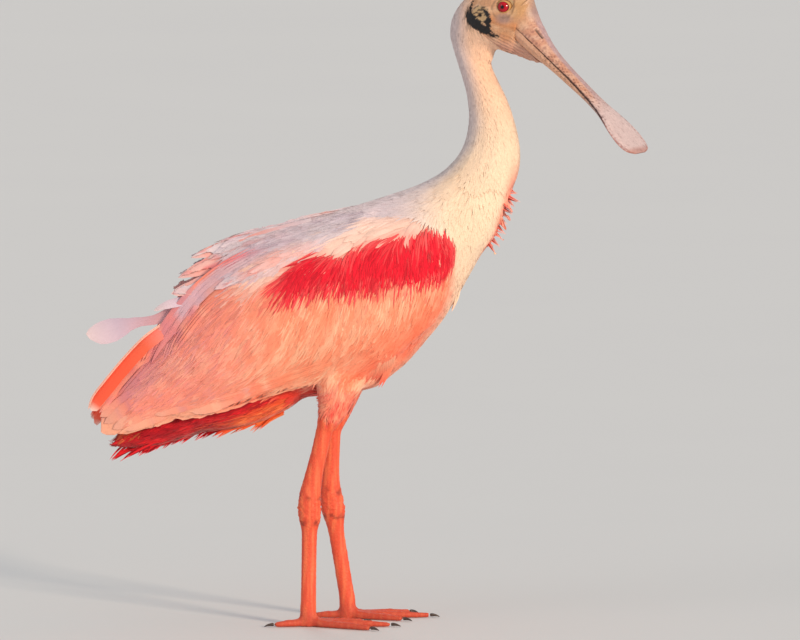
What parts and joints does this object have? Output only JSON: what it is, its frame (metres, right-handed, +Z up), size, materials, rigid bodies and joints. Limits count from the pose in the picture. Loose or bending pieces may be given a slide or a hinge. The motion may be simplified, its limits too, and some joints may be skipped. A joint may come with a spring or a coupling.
{
  "type": "roseate spoonbill display model",
  "caption": "Life-size still model of a roseate spoonbill standing on the floor with folded pink wings and its head turned to one side",
  "frame": {"origin": "on the floor, at the middle of the box round the whole bird", "axes": "+X is the way the bird faces, +Y is its left side, +Z is up from the floor"},
  "size_m": [0.5159, 0.163, 0.59],
  "materials": {
    "pale_feathers": "soft matt feathers, cream to pinkish white",
    "pink_feathers": "soft feathers, salmon pink with a carmine shoulder patch",
    "crimson_feathers": "loose streaky feathers, deep crimson",
    "orange_feathers": "smooth feathers, orange-red with a pale edge",
    "bare_skin": "bare wrinkled skin, yellow-tan with a black ear patch",
    "bill": "horny, mottled pinkish grey, slightly glossy",
    "eye": "wet, glossy, crimson iris with a dark pupil",
    "leg_skin": "scaly skin, orange-red with dark creases",
    "claw": "dark smooth horn"
  },
  "bodies": {
    "root": {"head": "bare_skin", "throat_skin": "bare_skin", "eye_right": "eye", "eye_left": "eye", "bill_upper": "bill", "bill_lower": "bill", "neck_upper": "pale_feathers", "neck_middle": "pale_feathers", "neck_lower": "pale_feathers", "trunk": "pale_feathers", "wing_right_coverts": "pink_feathers", "wing_right_quills": "pink_feathers", "wing_left_coverts": "pink_feathers", "wing_left_quills": "pink_feathers", "scapulars_right": "pale_feathers", "scapulars_left": "pale_feathers", "plume_loose": "pale_feathers", "tail": "orange_feathers", "undertail_coverts": "crimson_feathers", "thigh_right": "pink_feathers", "thigh_left": "pink_feathers", "shank_right": "leg_skin", "shank_left": "leg_skin", "tarsus_right": "leg_skin", "tarsus_left": "leg_skin", "foot_right": "leg_skin", "foot_left": "leg_skin", "claw_right_inner": "claw", "claw_right_middle": "claw", "claw_right_outer": "claw", "claw_right_hind": "claw", "claw_left_inner": "claw", "claw_left_middle": "claw", "claw_left_outer": "claw", "claw_left_hind": "claw"}
  },
  "joints": []
}
